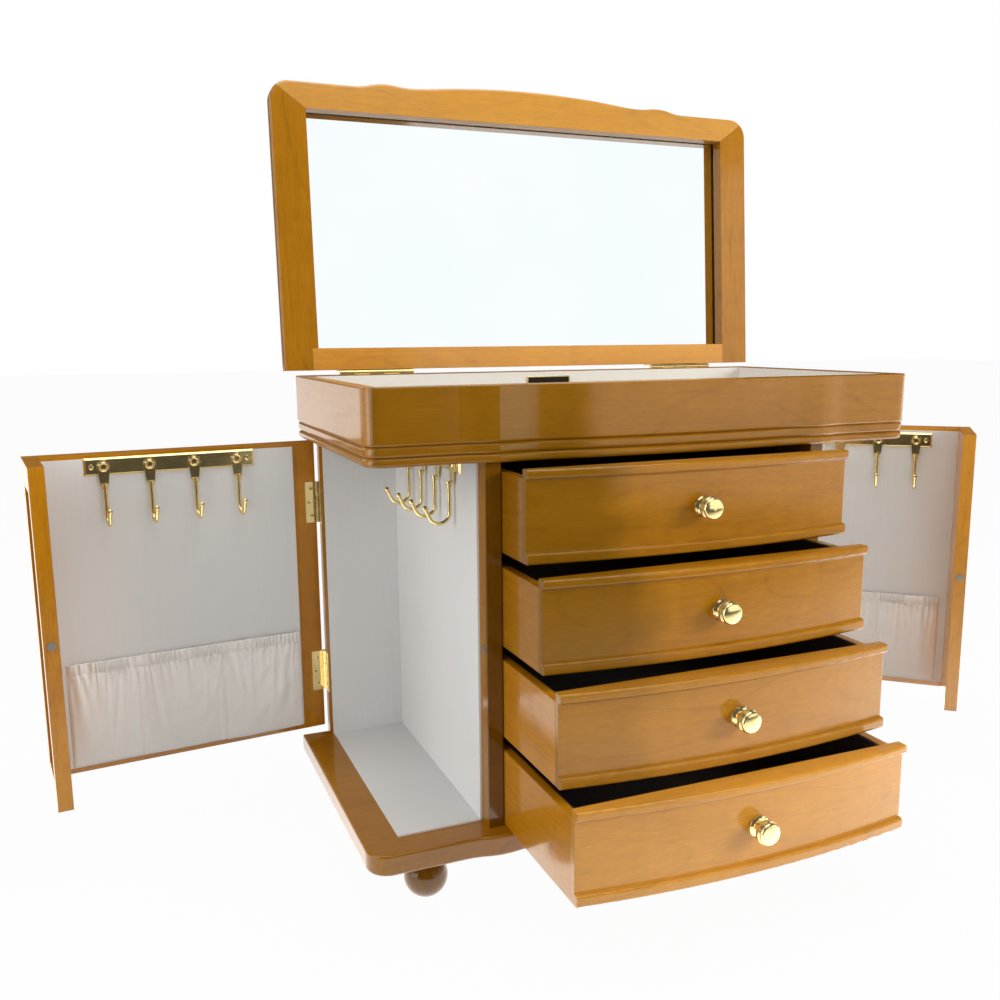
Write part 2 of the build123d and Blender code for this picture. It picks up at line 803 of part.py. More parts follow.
def drawer_knob(low):
    """Turned knob: flange, neck and a nearly flat head with fine ridges round its rim."""
    face_y = housing_front - drawer_bow + drawer_field_depth
    neck_end = (knob_neck_radius, 0, knob_head_start)
    widest = (knob_radius, 0, knob_widest_at)
    top = (0, 0, knob_projection)
    shoulder = (knob_shoulder, 0, knob_shoulder_at)
    corners = [(0, 0, 0), (knob_flange_radius, 0, 0), (knob_flange_radius, 0, knob_flange_edge)]
    corners += [(knob_flange_face, 0, knob_flange), (knob_neck_radius, 0, knob_neck_start), neck_end]
    ridges = [widest, (knob_radius, 0, knob_rim_at)]
    for index in range(knob_ridge_count):
        radius, _, level = ridges[-1]
        ridges.append((radius - knob_ridge_depth, 0, level + knob_ridge_pitch / 2))
        ridges.append((radius - knob_ridge_taper, 0, level + knob_ridge_pitch))
    outline = [Edge.make_line(first, second) for first, second in zip(corners, corners[1:])]
    outline.append(Edge.make_tangent_arc(widest, (0, 0, -1), neck_end))
    outline += [Edge.make_line(first, second) for first, second in zip(ridges, ridges[1:])]
    outline.append(Edge.make_tangent_arc(ridges[-1], (0, 0, 1), shoulder))
    outline.append(Edge.make_tangent_arc(top, (1, 0, 0), shoulder))
    outline.append(Edge.make_line(top, corners[0]))
    turned = revolve(Face(Wire(outline)), axis=Axis.Z)
    return [Pos(0, face_y, low + drawer_front_height / 2) * Rot(90, 0, 0) * turned]


def drawer_nodes(number, pull):
    """All pieces of one drawer, counted from the top and pulled out to the front."""
    level = drawer_count - number
    low = base_top + level * drawer_pitch + drawer_gap_below
    pieces = {
        "front": drawer_front(low),
        "box": drawer_box(low),
        "lining": drawer_lining(low),
        "knob": drawer_knob(low),
    }
    nodes = {}
    for key, solids in pieces.items():
        nodes[f"drawer_{number}_{key}"] = [Pos(0, -pull, 0) * solid for solid in solids]
    return nodes


def lid_nodes():
    """All pieces of the lid, turned up about its hinge line."""
    glass = lid_low + mirror_recess
    pieces = lid_boards()
    pieces["mirror"] = lid_fill(glass, mirror_thickness)
    pieces["lid_panel"] = lid_fill(glass + mirror_thickness, lid_panel_thickness)
    pieces["lid_hinge_leaves"] = lid_hinge(True)
    hinge_line = Axis((0, lid_hinge_y, lid_hinge_z), (1, 0, 0))
    nodes = {}
    for key, solids in pieces.items():
        nodes[key] = [solid.rotate(hinge_line, -lid_open_angle) for solid in solids]
    return nodes


def cabinet_nodes():
    return {
        "base_plate": [base_plate()],
        "feet": feet(),
        "back_panel": back_panel(),
        "housing_wall_left": housing_wall(-1),
        "housing_wall_right": housing_wall(1),
        "drawer_dividers": drawer_dividers(),
        "compartment_lining_left": compartment_lining(-1),
        "compartment_lining_right": compartment_lining(1),
        "wall_hook_rail_left": wall_hook_rail(-1),
        "wall_hook_rail_right": wall_hook_rail(1),
        "tray_frame": tray_frame(),
        "tray_floor": tray_floor(),
        "tray_lining": tray_lining(),
        "tray_dividers": tray_dividers(),
        "ring_rolls": ring_rolls(),
        "tray_hinge_leaves": lid_hinge(False),
        "door_hinge_leaves": door_hinges(False) + [mirrored(leaf) for leaf in door_hinges(False)],
        "post_magnets": post_magnets(),
    }


nodes = cabinet_nodes()
nodes.update(lid_nodes())
nodes.update(door_nodes("left_door", -1, left_rail_start, left_rail_down, left_door_angle))
nodes.update(door_nodes("right_door", 1, right_rail_start, right_rail_down, right_door_angle))
for number, pull in enumerate(drawer_pulls, start=1):
    nodes.update(drawer_nodes(number, pull))

os.makedirs("parts", exist_ok=True)
for name, solids in nodes.items():
    placed = [Pos(*origin_shift) * solid for piece in solids for solid in piece.solids()]
    export_step(Compound(placed), f"parts/{name}.step")
print(len(nodes), "nodes")
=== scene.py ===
import json
import math
import random

import bpy
from mathutils import Matrix, Vector, noise


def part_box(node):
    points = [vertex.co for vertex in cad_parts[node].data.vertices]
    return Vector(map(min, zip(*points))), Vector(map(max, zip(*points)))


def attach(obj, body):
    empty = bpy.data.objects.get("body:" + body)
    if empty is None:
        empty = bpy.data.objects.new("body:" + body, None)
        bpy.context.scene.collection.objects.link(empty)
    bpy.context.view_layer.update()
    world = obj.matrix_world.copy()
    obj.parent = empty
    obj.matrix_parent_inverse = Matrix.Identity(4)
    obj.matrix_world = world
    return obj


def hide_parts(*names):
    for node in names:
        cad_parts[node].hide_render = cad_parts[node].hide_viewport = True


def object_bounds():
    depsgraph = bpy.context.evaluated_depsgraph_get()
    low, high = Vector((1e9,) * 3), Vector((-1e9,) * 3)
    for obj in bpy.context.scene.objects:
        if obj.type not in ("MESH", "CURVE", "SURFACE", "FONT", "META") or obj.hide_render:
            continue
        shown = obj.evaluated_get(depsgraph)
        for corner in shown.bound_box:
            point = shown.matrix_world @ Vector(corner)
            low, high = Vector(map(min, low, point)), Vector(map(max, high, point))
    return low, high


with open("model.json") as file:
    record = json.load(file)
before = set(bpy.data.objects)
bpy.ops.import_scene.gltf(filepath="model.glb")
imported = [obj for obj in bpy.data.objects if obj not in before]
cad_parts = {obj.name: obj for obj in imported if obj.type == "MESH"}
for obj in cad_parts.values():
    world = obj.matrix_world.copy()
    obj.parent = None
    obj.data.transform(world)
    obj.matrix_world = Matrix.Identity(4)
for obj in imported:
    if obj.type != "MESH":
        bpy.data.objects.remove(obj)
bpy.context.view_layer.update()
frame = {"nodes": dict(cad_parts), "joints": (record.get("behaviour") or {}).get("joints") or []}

MM = 0.001
nodes = frame["nodes"]

# Where the CAD pieces lie in the cabinet's own frame, in millimetres, with everything closed. The frame
# starts at the mid-plane, on the underside of the base plate and half-way along the body's depth. A door's
# rails lie between the depths, or the distances from the mid-plane, that are given for them.
BODY_DEPTH = 183.6
BASE_TOP = 12.7
POST_FRONT = -87.0
DOOR_SIDE_RAILS = (-63.2, 67.8)
DOOR_RETURN_RAILS = (123.2, 156.7)
HINGE_X = 166.0
HINGE_BACK = 93.4
TRAY_HALF_WIDTH = 178.0
TRAY_HALF_DEPTH = 91.8
TRAY_WALL = 8.0
TRAY_CARD = 1.2
MIRROR_FACE = 275.3
MIRROR_GLASS = 3.0

base_low, base_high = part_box("base_plate")
back_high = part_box("back_panel")[1]
ORIGIN = Vector(((base_low.x + base_high.x) / 2, back_high.y - BODY_DEPTH / 2 * MM, base_low.z))


def cab(x, y, z):
    """A point of the cabinet's own frame, in millimetres, as a point of the row frame."""
    return ORIGIN + Vector((x, y, z)) * MM


# How each body gets back to its closed place: the joint's limit that closes it
CLOSED_LIMIT = {"lid": 1, "left_door": 1, "right_door": 0}
closing = {"cabinet": Matrix.Identity(4)}
for joint in frame["joints"]:
    axis = Vector(joint["axis"])
    limit = CLOSED_LIMIT.get(joint["child"], 0)
    if joint["type"] == "hinge":
        centre = Vector(joint["pos_m"])
        turn = Matrix.Rotation(math.radians(joint["range_deg"][limit]), 4, axis)
        closing[joint["child"]] = Matrix.Translation(centre) @ turn @ Matrix.Translation(-centre)
    else:
        closing[joint["child"]] = Matrix.Translation(axis * joint["range_m"][limit])
opening = {body: matrix.inverted() for body, matrix in closing.items()}


def placed(body, x, y, z):
    """A closed-pose point of the cabinet's own frame, in millimetres, where the body stands at rest."""
    return opening[body] @ cab(x, y, z)


def direction(body, letter):
    """A closed-pose axis as it points on the body at rest."""
    unit = Vector([1.0 if letter == name else 0.0 for name in "XYZ"])
    return (opening[body].to_3x3() @ unit).normalized()


# Node trees

BLACK = (0.0, 0.0, 0.0, 1.0)
WHITE = (1.0, 1.0, 1.0, 1.0)


def add(tree, kind, inputs=None, **settings):
    """One node; an input is a value, or the socket that feeds it."""
    made = tree.nodes.new("ShaderNode" + kind)
    for key, value in settings.items():
        setattr(made, key, value)
    for key, value in (inputs or {}).items():
        if isinstance(value, bpy.types.NodeSocket):
            tree.links.new(value, made.inputs[key])
        else:
            made.inputs[key].default_value = value
    return made


def material(name):
    made = bpy.data.materials.new(name)
    made.use_nodes = True
    made.node_tree.nodes.clear()
    return made, made.node_tree


def finish_material(made, tree, shader):
    add(tree, "OutputMaterial", {"Surface": shader.outputs[0]})
    return made


def math_node(tree, operation, first, second=0.0):
    return add(tree, "Math", {0: first, 1: second}, operation=operation).outputs[0]


def weighted(tree, parts):
    """Sum of (value, share) pairs."""
    shares = [math_node(tree, "MULTIPLY", value, share) for value, share in parts]
    total = shares[0]
    for share in shares[1:]:
        total = math_node(tree, "ADD", total, share)
    return total


def ramp(tree, factor, stops):
    """Colour ramp over (place, colour) pairs."""
    made = add(tree, "ValToRGB", {"Fac": factor})
    band = made.color_ramp
    while len(band.elements) < len(stops):
        band.elements.new(0.5)
    for element, (place, colour) in zip(band.elements, stops):
        element.position = place
        element.color = (*colour, 1.0)
    return made.outputs["Color"]


def grey(tree, factor, low, high, low_value, high_value, **settings):
    """A factor moved from one range to another."""
    return add(tree, "MapRange", {0: factor, 1: low, 2: high, 3: low_value, 4: high_value},
               **settings).outputs[0]


def mix_colours(tree, factor, first, second):
    return add(tree, "Mix", {0: factor, 6: first, 7: second}, data_type="RGBA").outputs[2]


def mix_shaders(tree, factor, first, second):
    return add(tree, "MixShader", {0: factor, 1: first.outputs[0], 2: second.outputs[0]})


def object_space(tree):
    return add(tree, "TexCoord").outputs["Object"]


def noise_value(tree, vector, scale, detail, roughness=0.5, distortion=0.0):
    return add(tree, "TexNoise", {"Vector": vector, "Scale": scale, "Detail": detail,
                                  "Roughness": roughness, "Distortion": distortion}).outputs["Fac"]


def bump_of(tree, height, strength, **inputs):
    """Normal over a relief of a fifth of a millimetre."""
    return add(tree, "Bump", {"Strength": strength, "Distance": 0.2 * MM, "Height": height,
                              **inputs}).outputs[0]


def soft_edges(tree, radius):
    """Normal that runs smoothly round the sharp edges of a piece."""
    return add(tree, "Bevel", {"Radius": radius}, samples=4).outputs[0]


def seen_directly(tree, path):
    """1 for rays from the camera or through glass; glass makes them glossy too, so it is mixed in last."""
    through = path.outputs["Is Transmission Ray"]
    return math_node(tree, "MAXIMUM", path.outputs["Is Camera Ray"], through)


# Wood

# Each noise of the wood: scale along the grain, scale across it, detail, roughness and distortion
CLOUD = (6, 18, 3.0, 0.5)
STREAK = (14, 380, 4.0, 0.6)
FLECK = (110, 1300, 3.0, 0.7)
FIGURE = (90, 30, 2.0, 0.5)
GROWTH = (5, 19, 1.0, 0.4, 0.35)
DARK_STREAK = (14, 300, 3.0, 0.5)

# Share of each noise in the wood's tone
CLOUD_SHARE = 0.32
STREAK_SHARE = 0.20
FLECK_SHARE = 0.36
FIGURE_SHARE = 0.12

# Growth lines: how many the growth noise gives, how wide they are and how dark
GROWTH_LINES = 8.0
LINE_HALF = 0.07
LINE_DEPTH = 0.06

STAINED_MAPLE = (
    (0.30, (0.240, 0.088, 0.001)),
    (0.43, (0.345, 0.134, 0.003)),
    (0.55, (0.410, 0.165, 0.005)),
    (0.70, (0.495, 0.206, 0.010)),
)
# Pale colour that brightly lit boards are mixed towards: a painted highlight for light that washes them
# out
PAINTED_WASH_COLOUR = (0.90, 0.62, 0.28)

# Painted shade at the left end of a board, where less light falls, in metres from the cabinet's middle:
# where it fades out, and by how much the cloud shifts that
PAINTED_SHADE_COLOUR = (0.120, 0.056, 0.000, 1.0)
LEFT_SHADE_FADES = (-0.016, 0.012)
LEFT_SHADE_SHIFT = 0.09

LACQUER = {"Coat Weight": 0.7, "Coat Roughness": 0.11, "Coat IOR": 1.5, "Specular IOR Level": 0.05}
LACQUER_ROUGHNESS = (0.34, 0.44)
BOARD_EDGE = 0.7 * MM

# How far apart the boards of two neighbouring seeds lie in the noise
BOARD_STEP = (0.37, 0.21, 0.13)


def board_space(tree, body, along, seed=0):
    """Coordinates of a board: X runs with its grain."""
    coords = object_space(tree)
    letters = [along] + [letter for letter in "XYZ" if letter != along]
    values = []
    for letter in letters:
        dot = add(tree, "VectorMath", {0: coords, 1: direction(body, letter)}, operation="DOT_PRODUCT")
        values.append(dot.outputs["Value"])
    joined = add(tree, "CombineXYZ", {0: values[0], 1: values[1], 2: values[2]}).outputs[0]
    offset = Vector([step * seed for step in BOARD_STEP])
    return add(tree, "VectorMath", {0: joined, 1: offset}).outputs[0]


def grain(tree, space, along, across, detail, roughness, distortion=0.0):
    """Noise that is stretched along a board."""
    stretched = add(tree, "Mapping", {"Vector": space, "Scale": (along, across, across)}).outputs[0]
    return noise_value(tree, stretched, 1.0, detail, roughness, distortion)


def growth_lines(tree, space):
    """How much darker the wood is on the thin lines between its years."""
    years = math_node(tree, "MULTIPLY", grain(tree, space, *GROWTH), GROWTH_LINES)
    off_middle = math_node(tree, "SUBTRACT", math_node(tree, "FRACT", years), 0.5)
    return grey(tree, math_node(tree, "ABSOLUTE", off_middle), 0.0, LINE_HALF, LINE_DEPTH, 0.0)


def wood(body, along, tone=1.0, seed=0, painted_left_shade=0.0, painted_wash=0.0):
    """Honey-stained maple under lacquer, its grain along one closed-pose axis of a body.

    Of the last two arguments, the first is how much painted shade darkens the board's left end, the
    second how far its colour is mixed towards a pale painted highlight. tone is part stain, part painted
    light."""
    made, tree = material(f"maple_{body}_{along}_{seed}")
    space = board_space(tree, body, along, seed)
    cloud = grain(tree, space, *CLOUD)
    streak = grain(tree, space, *STREAK)
    fleck = grain(tree, space, *FLECK)
    figure = grain(tree, space, *FIGURE)
    level = weighted(tree, [(cloud, CLOUD_SHARE), (streak, STREAK_SHARE), (fleck, FLECK_SHARE),
                            (figure, FIGURE_SHARE)])
    level = math_node(tree, "SUBTRACT", level, growth_lines(tree, space))
    # The tone scales the stain colours, part stain and part painted light; the wash mixes them towards the
    # pale painted highlight
    colour = ramp(tree, level, [
        (place, tuple(stain * tone * (1.0 - painted_wash) + washed * painted_wash
                      for stain, washed in zip(stained, PAINTED_WASH_COLOUR)))
        for place, stained in STAINED_MAPLE
    ])
    # Painted shade: towards the board's left end its colour is mixed with a dark brown
    if painted_left_shade:
        across = add(tree, "SeparateXYZ", {0: object_space(tree)}).outputs["X"]
        shifted = math_node(tree, "ADD", across, math_node(tree, "MULTIPLY", cloud, LEFT_SHADE_SHIFT))
        fades, ends = [ORIGIN.x + place for place in LEFT_SHADE_FADES]
        left_shade = grey(tree, shifted, fades, ends, painted_left_shade, 0.0, interpolation_type="SMOOTHSTEP")
        colour = mix_colours(tree, left_shade, colour, PAINTED_SHADE_COLOUR)
    bump = bump_of(tree, fleck, 0.06, Normal=soft_edges(tree, BOARD_EDGE))
    return finish_material(made, tree, add(tree, "BsdfPrincipled", {
        "Base Color": colour, "Roughness": grey(tree, cloud, 0.2, 0.8, *LACQUER_ROUGHNESS),
        "Normal": bump, "Coat Normal": bump, **LACQUER,
    }))


def bare_wood(name, colour):
    """Dark unlacquered boards inside the cabinet."""
    made, tree = material(name)
    streak = grain(tree, board_space(tree, "cabinet", "Y"), *DARK_STREAK)
    tint = ramp(tree, streak, [(0.3, tuple(c * 0.6 for c in colour)), (0.7, colour)])
    return finish_material(made, tree, add(tree, "BsdfPrincipled", {
        "Base Color": tint, "Roughness": 0.6, "Normal": bump_of(tree, streak, 0.1),
    }))


# Cloth, metal and mirror

NAP_SCALE = 1900.0
RIB_SCALES = (900.0, 900.0, 26.0)
SMUDGE_SCALE = 160.0
METAL_EDGE = 0.3 * MM


def cloth(name, colour, shade, ribs=0.0, sheen=0.2, painted_level_shade=0.0):
    """Fabric with a fine nap and upright ribs; the shade is the colour of its darker threads.

    The last argument is how much darker its upward faces are made: painted shade."""
    made, tree = material(name)
    coords = object_space(tree)
    nap = noise_value(tree, coords, NAP_SCALE, 2.0, 0.6)
    upright = add(tree, "Mapping", {"Vector": coords, "Scale": RIB_SCALES}).outputs[0]
    thread = noise_value(tree, upright, 1.0, 2.0)
    level = weighted(tree, [(nap, 1.0 - ribs), (thread, ribs)])
    tint = ramp(tree, level, [(0.32, shade), (0.62, colour)])
    if painted_level_shade:
        # Painted shade: faces that point up are mixed towards black
        upward = add(tree, "SeparateXYZ", {0: add(tree, "NewGeometry").outputs["Normal"]}).outputs["Z"]
        tint = mix_colours(tree, grey(tree, upward, 0.5, 0.9, 0.0, painted_level_shade), tint, BLACK)
    return finish_material(made, tree, add(tree, "BsdfPrincipled", {
        "Base Color": tint, "Roughness": 0.95, "Normal": bump_of(tree, level, 0.2),
        "Sheen Weight": sheen, "Sheen Roughness": 0.5, "Specular IOR Level": 0.15,
    }))


def metal(name, colour, rough_low, rough_high, bare=1.0):
    """Metal whose polish varies a little, with faint handling marks; lacquer makes it less bare."""
    made, tree = material(name)
    smudge = noise_value(tree, object_space(tree), SMUDGE_SCALE, 3.0)
    tint = ramp(tree, smudge, [(0.3, tuple(c * 0.93 for c in colour)), (0.65, colour)])
    return finish_material(made, tree, add(tree, "BsdfPrincipled", {
        "Base Color": tint, "Metallic": bare, "Normal": soft_edges(tree, METAL_EDGE),
        "Roughness": grey(tree, smudge, 0.3, 0.7, rough_low, rough_high),
    }))


def clear_glass():
    """Front of the mirror, with faint smears."""
    made, tree = material("mirror_glass")
    haze = noise_value(tree, object_space(tree), 14.0, 2.0)
    tint = ramp(tree, haze, [(0.3, (0.985, 0.995, 1.0)), (0.7, (1.0, 1.0, 1.0))])
    return finish_material(made, tree, add(tree, "BsdfRefraction", {
        "Color": tint, "Roughness": 0.0, "IOR": 1.5,
    }))


def silver_back():
    """Silvered back of the mirror, seen through its glass."""
    made, tree = material("mirror_silver")
    haze = noise_value(tree, object_space(tree), 9.0, 2.0)
    tint = ramp(tree, haze, [(0.3, (0.940, 0.985, 1.0)), (0.7, (0.955, 0.99, 1.0))])
    return finish_material(made, tree, add(tree, "BsdfPrincipled", {
        "Base Color": tint, "Metallic": 1.0, "Roughness": 0.0,
    }))


lining_cloth = cloth("lining_cloth", (0.800, 0.796, 0.780), (0.775, 0.771, 0.756), ribs=0.45,
                     painted_level_shade=0.14)
tray_cloth = cloth("tray_cloth", (0.740, 0.700, 0.635), (0.690, 0.650, 0.590))
pocket_cloth = cloth("pocket_cloth", (0.940, 0.910, 0.870), (0.890, 0.860, 0.820))
drawer_cloth = cloth("drawer_cloth", (0.065, 0.043, 0.030), (0.042, 0.027, 0.019), sheen=0.1)
brass = metal("polished_brass", (0.88, 0.70, 0.32), 0.09, 0.15, bare=0.86)
dark_brass = metal("dark_brass", (0.22, 0.17, 0.08), 0.30, 0.45)
steel = metal("nickel_steel", (0.26, 0.24, 0.21), 0.28, 0.42)
enamel = metal("dark_enamel", (0.035, 0.030, 0.024), 0.25, 0.4)
mirror_glass = clear_glass()
mirror_silver = silver_back()
dark_board = bare_wood("dark_board", (0.100, 0.052, 0.024))


# Materials of the CAD nodes

def dress(node, *materials):
    """Give a CAD node its materials, in slot order."""
    mesh = nodes[node].data
    mesh.materials.clear()
    for item in materials:
        mesh.materials.append(item)


def dress_boards(node, body, choose, materials):
    """Give each face of a node one of several materials by where it is on the closed cabinet."""
    dress(node, *materials)
    matrix = closing[body]
    for face in nodes[node].data.polygons:
        point = (matrix @ face.center - ORIGIN) / MM
        face.material_index = choose(point)


def tray_board(point):
    """0 for the front and back boards, 1 for the side boards, split along the mitres."""
    side_depth = TRAY_HALF_WIDTH - abs(point.x)
    end_depth = TRAY_HALF_DEPTH - abs(point.y)
    return 1 if side_depth < end_depth else 0


def door_side_board(point):
    """0 for the upright stiles, 1 for the rails between them."""
    return 1 if DOOR_SIDE_RAILS[0] < point.y < DOOR_SIDE_RAILS[1] else 0


def door_return_board(point):
    """0 for the upright stiles, 1 for the rails between them."""
    return 1 if DOOR_RETURN_RAILS[0] < abs(point.x) < DOOR_RETURN_RAILS[1] else 0


def post_board(point):
    """0 for the wall's sides, 1 for its front edge."""
    return 1 if point.y < POST_FRONT else 0


def mirror_layer(point):
    """0 for the glass face, 1 for its edges, 2 for the silvered back."""
    margin = 0.5
    if point.z < MIRROR_FACE + margin:
        return 0
    return 2 if point.z > MIRROR_FACE + MIRROR_GLASS - margin else 1


for name in nodes:
    if "magnet" in name:
        dress(name, steel)
    elif "hook_rail" in name or "hinge_leaves" in name or name.endswith("knob"):
        dress(name, brass)
    elif name.startswith("drawer_") and name.endswith("lining"):
        dress(name, drawer_cloth)
    elif name in ("tray_lining", "tray_dividers", "ring_rolls"):
        dress(name, tray_cloth)
    elif "lining" in name:
        dress(name, lining_cloth)
    elif name.endswith("pocket"):
        dress(name, pocket_cloth)
    elif name in ("drawer_dividers", "tray_floor"):
        dress(name, dark_board)

dress_boards("mirror", "lid", mirror_layer, [mirror_glass, dark_board, mirror_silver])
# A hair of room behind the glass, so that its silvered back and the lid panel aren't in one plane
room_behind = nodes["mirror"].modifiers.new("room_behind", "DISPLACE")
room_behind.mid_level = 0.0
room_behind.strength = -0.04 * MM

# Each board's tone is part stain, part painted light: lighter for boards where more light falls, darker
# for boards in shade
dress("base_plate", wood("cabinet", "X", tone=0.86))
dress("feet", wood("cabinet", "Z", tone=0.54, seed=5))
dress("back_panel", wood("cabinet", "X", seed=6))
for seed, side in ((7, "left"), (8, "right")):
    # The walls' front edges get a much darker tone: painted shade where the drawers and tray shade them
    post_woods = [wood("cabinet", "Z", tone=0.80, seed=seed),
                  wood("cabinet", "Z", tone=0.43, seed=seed + 10)]
    dress_boards(f"housing_wall_{side}", "cabinet", post_board, post_woods)
dress_boards("tray_frame", "cabinet", tray_board, [
    wood("cabinet", "X", tone=0.80, seed=1, painted_left_shade=0.40),
    wood("cabinet", "Y", tone=0.92, seed=2),
])
# The rails get lighter tones and a painted wash, the stiles darker tones: painted light for how the light
# falls on each
dress("lid_top_rail", wood("lid", "X", tone=1.32, painted_wash=0.15))
dress("lid_bottom_rail", wood("lid", "X", tone=1.44, seed=3, painted_wash=0.10))
dress("lid_stile_left", wood("lid", "Y", tone=0.92, seed=1))
dress("lid_stile_right", wood("lid", "Y", tone=1.02, seed=2))
dress("lid_panel", wood("lid", "X", seed=4))
# The right door gets a lighter tone and a painted wash: painted light for the stronger light that falls on
# it
for door, tone, painted_wash in (("left_door", 1.30, 0.0), ("right_door", 1.72, 0.10)):
    dress_boards(f"{door}_side_frame", door, door_side_board, [
        wood(door, "Z", tone=tone, painted_wash=painted_wash), wood(door, "Y", tone=tone, seed=1, painted_wash=painted_wash)])
    dress(f"{door}_side_panel", wood(door, "Z", tone=tone, seed=2))
    dress_boards(f"{door}_return_frame", door, door_return_board, [
        wood(door, "Z", tone=tone, seed=3, painted_wash=painted_wash), wood(door, "X", tone=tone, painted_wash=painted_wash)])
    dress(f"{door}_return_panel", wood(door, "Z", tone=tone, seed=4))

# For each drawer from the top: tone of the front, tone of the box, painted shade at the front's left end
# and painted wash of the front. The tones grow lighter downwards: painted light for the light that falls
# more on the lower drawers
DRAWER_LOOKS = (
    (0.90, 0.72, 0.56, 0.0),
    (0.98, 0.92, 0.58, 0.0),
    (0.99, 1.28, 0.22, 0.03),
    (1.36, 1.32, 0.08, 0.08),
)
for number, (tone, box_tone, left_shade, painted_wash) in enumerate(DRAWER_LOOKS, start=1):
    body = f"drawer_{number}"
    dress(f"{body}_front", wood(body, "X", tone=tone, seed=number, painted_left_shade=left_shade, painted_wash=painted_wash))
    dress(f"{body}_box", wood(body, "Y", tone=box_tone, seed=number))


# New pieces

def mesh_piece(name, vertices, faces, skin, body, smooth=True):
    """A mesh object in the row frame that rides on a body."""
    mesh = bpy.data.meshes.new(name)
    mesh.from_pydata(vertices, [], faces)
    mesh.materials.append(skin)
    mesh.validate()
    for face in mesh.polygons:
        face.use_smooth = smooth
    piece = bpy.data.objects.new(name, mesh)
    bpy.context.scene.collection.objects.link(piece)
    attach(piece, body)
    return piece


def ring_quads(bands, around, first=0):
    """Quads between rings of vertices that follow one another."""
    quads = []
    for band in range(bands):
        for step in range(around):
            a = first + band * around + step
            b = first + band * around + (step + 1) % around
            quads.append((a, b, b + around, a + around))
    return quads


def hump(distance, half_width):
    """1 at a distance of 0, falling off to nothing over a few half widths."""
    return math.exp(-(distance / half_width) ** 2)


# Gathered pockets, in millimetres. Along runs from the hinge line to the free edge, up from the lining's
# lower edge, and out from the lining into the compartment.
CARD_FACE = 165.5
CARD_LOW = 20.9
POCKET_START = 17.6
POCKET_END = 166.4
POCKET_SEAMS = (70.7, 121.3)
POCKET_HEIGHT = 68.4
BAND = 7.2
BELOW_BAND = POCKET_HEIGHT - BAND
SECTIONS = list(zip((POCKET_START,) + POCKET_SEAMS, POCKET_SEAMS + (POCKET_END,)))
POCKET_COLUMNS = 420
POCKET_ROWS = 100
POCKET_CLOTH = 0.3
LEAST_OUT = 0.12
SECTION_LIFT = 0.5
TOP_WAVE = 0.3

# The gathered band along the top: how far it stands out, and what its swell, arch, ruffles and rim add
BAND_OUT = 1.1
BAND_SWELL = 0.6
BAND_ARCH = 0.5
BAND_RUFFLE = 1.2
RIM = 0.45
RIM_AT = 0.93
RIM_HALF = 0.09
RUFFLE_PITCH = 2.6
RUFFLE_DRIFT = 0.3
RUFFLE_SLIP = 1.5

# The cloth below the band: how far it stands out, its belly, the ruffles' depth and how far down they
# reach, the dent of the band's stitches and the creases
BELOW_OUT = 0.6
BELLY = 3.0
RUFFLE_BELOW = 0.9
RUFFLE_REACH = 4.0
STITCH_DEPTH = 0.75
STITCH_HALF = 0.8
CREASE = 1.1

# The folds: from which ranges they are drawn, how far apart they are, how they lean to the middle of their
# section, how much wider each gets on its way down, and the room at the section's ends
FOLD_WIDTH = (0.7, 1.7)
FOLD_DEPTH = (0.9, 2.5)
FOLD_REACH = (7.0, 40.0)
FOLD_GAP = (2.6, 5.6)
FOLD_LEAN = 0.32
FOLD_STRAY = 0.10
FOLD_SPREAD = 0.05
FOLD_MARGINS = (1.5, 1.0)

# The seams between the sections, and the ridge of spare cloth beside each
SEAM_OUT = 0.15
SEAM_HALF = 0.75
RIDGE_OUT = 1.3
RIDGE_AT = 2.3
RIDGE_HALF = 1.3

# Along its sides and foot the cloth is sewn down: the share of its depth that is left there, and the
# millimetres in which it gains a whole share
SEWN_SHARE = 0.25
SEWN_WIDTH = 2.0


def pocket_folds(seed):
    """Soft folds that hang from the gathers: place, lean, width, depth and how far down they reach."""
    rng = random.Random(seed)
    sections = []
    for start, end in SECTIONS:
        middle = (start + end) / 2
        place = start + FOLD_MARGINS[0]
        folds = []
        while place < end - FOLD_MARGINS[1]:
            lean = FOLD_LEAN * (middle - place) / (end - start) + rng.uniform(-FOLD_STRAY, FOLD_STRAY)
            folds.append((place, lean, rng.uniform(*FOLD_WIDTH), rng.uniform(*FOLD_DEPTH),
                          rng.uniform(*FOLD_REACH)))
            place += rng.uniform(*FOLD_GAP)
        sections.append(folds)
    return sections


def ruffle(along, shift):
    """Fine uneven waves of the gathered cloth."""
    pitch = RUFFLE_PITCH + RUFFLE_DRIFT * noise.noise(Vector((along * 0.05, 0.0, shift)))
    slip = RUFFLE_SLIP * noise.noise(Vector((along * 0.3, 1.7, shift)))
    return math.sin(2 * math.pi * along / pitch + slip)


def band_out(along, arch, within, shift):
    """How far the band stands out; within runs from 0 at its stitches to 1 at its rim."""
    out = BAND_OUT + BAND_SWELL * math.sin(math.pi * within) + BAND_ARCH * arch
    out += BAND_RUFFLE * ruffle(along, shift) * math.sin(math.pi * (0.12 + 0.7 * within))
    return out + RIM * hump(within - RIM_AT, RIM_HALF)


